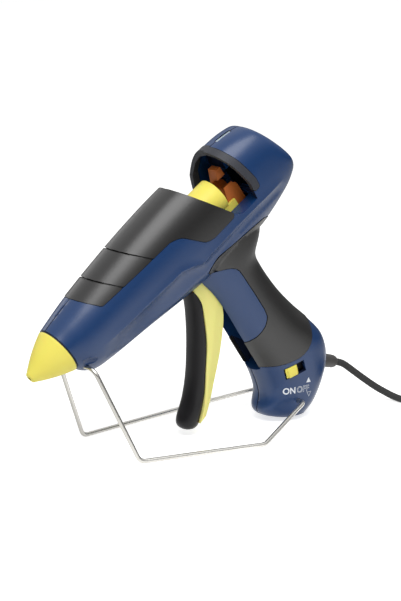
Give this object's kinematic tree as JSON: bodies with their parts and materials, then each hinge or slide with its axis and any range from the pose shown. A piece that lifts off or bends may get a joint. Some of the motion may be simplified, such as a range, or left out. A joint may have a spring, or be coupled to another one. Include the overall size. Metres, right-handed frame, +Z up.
{
  "type": "hot glue applicator",
  "caption": "Pistol-shaped hot glue applicator standing nose down on a bent wire stand, with a pull trigger, sliding feed tube, soft grips, mains switch and coiled lead.",
  "frame": {"origin": "on the table, under the middle of the object's length and width without its loose lead", "axes": "+X from the nozzle towards the mains lead, +Y to the applicator's right flank, +Z up"},
  "size_m": [0.3971, 0.1469, 0.2057],
  "materials": {
    "blue_shell": "satin moulded",
    "soft_grip": "matt soft-touch",
    "yellow_plastic": "satin moulded",
    "orange_plastic": "satin moulded",
    "clear_lens": "clear polished",
    "lamp": "diffused",
    "black_plastic": "fine texture",
    "silicone": "matt",
    "brass": "turned",
    "cast_aluminium": "as cast",
    "ceramic": "matt ceramic",
    "steel": "bright",
    "bright_wire": "nickel plated",
    "board": "solder resist",
    "lead_insulation": "silicone insulated",
    "lead_rubber": "smooth",
    "pin_metal": "nickel plated"
  },
  "bodies": {
    "housing": {"left_housing": "blue_shell", "right_housing": "blue_shell", "barrel_grip_left": "soft_grip", "barrel_grip_right": "soft_grip", "handle_grip_left": "soft_grip", "handle_grip_right": "soft_grip", "bay_lip_left": "soft_grip", "bay_lip_right": "soft_grip", "nozzle_cover": "yellow_plastic", "indicator_lens": "clear_lens", "indicator_lamp": "lamp", "stick_bush": "black_plastic", "switch_body": "black_plastic", "cord_clamp": "black_plastic", "plug": "black_plastic", "nose_seal": "silicone", "inlet_sleeve": "silicone", "nozzle": "brass", "melt_chamber": "cast_aluminium", "heater": "ceramic", "trigger_pin": "steel", "clamp_screws": "steel", "housing_screws": "steel", "wire_stand": "bright_wire", "control_board": "board", "heater_leads": "lead_insulation", "strain_relief": "lead_rubber", "inner_cord": "lead_rubber", "cord": "lead_rubber", "cord_coil": "lead_rubber", "coil_tie": "lead_rubber", "plug_pins": "pin_metal"},
    "trigger": {"trigger": "yellow_plastic", "trigger_pad": "soft_grip", "drive_pin": "steel", "trigger_spring": "steel"},
    "feed": {"feed_tube": "yellow_plastic", "gripper_pin": "steel"},
    "gripper": {"stick_gripper": "orange_plastic"},
    "switch": {"switch_knob": "yellow_plastic"}
  },
  "joints": [
    {"name": "trigger_pull", "type": "hinge", "parent": "housing", "child": "trigger", "pos_m": [0.01264, 0, 0.10579], "axis": [0, -1, 0], "range_deg": [0, 22], "stiffness_Nm_per_rad": 0.8, "springref_deg": -17.19},
    {"name": "feed_slide", "type": "slide", "parent": "housing", "child": "feed", "axis": [-0.809, 0, -0.5878], "range_m": [0, 0.00916]},
    {"name": "gripper_tilt", "type": "hinge", "parent": "feed", "child": "gripper", "pos_m": [0.03524, 0, 0.15125], "axis": [0, -1, 0], "range_deg": [0, 6], "stiffness_Nm_per_rad": 0.02, "springref_deg": -11.46},
    {"name": "switch_slide", "type": "slide", "parent": "housing", "child": "switch", "axis": [0.9588, 0, 0.284], "range_m": [0, 0.005]}
  ],
  "couplings": [
    {"joint": "feed_slide", "follows": "trigger_pull", "m_per_rad": 0.023853}
  ]
}
